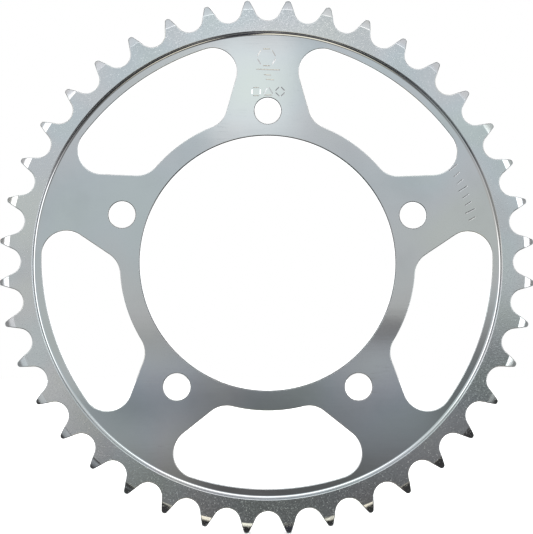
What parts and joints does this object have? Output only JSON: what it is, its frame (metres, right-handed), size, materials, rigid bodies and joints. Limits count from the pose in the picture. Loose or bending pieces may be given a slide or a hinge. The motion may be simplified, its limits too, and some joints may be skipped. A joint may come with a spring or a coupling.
{
  "type": "motorcycle rear sprocket",
  "caption": "Flat steel chain sprocket for a motorcycle's rear wheel, with a large bore, bolt holes in its spokes and open windows between them.",
  "frame": {"origin": "centre of the bore, in the plane of the flat mounting face", "axes": "+Y along the axis, from the outer face towards the sprocket carrier; +Z through one bolt hole"},
  "size_m": [0.2094, 0.0072, 0.2094],
  "materials": {
    "plated_steel": "bright zinc plating over turned and blanked steel, satin, with a faint passivation tint"
  },
  "bodies": {
    "root": {"sprocket_plate": "plated_steel"}
  },
  "joints": []
}
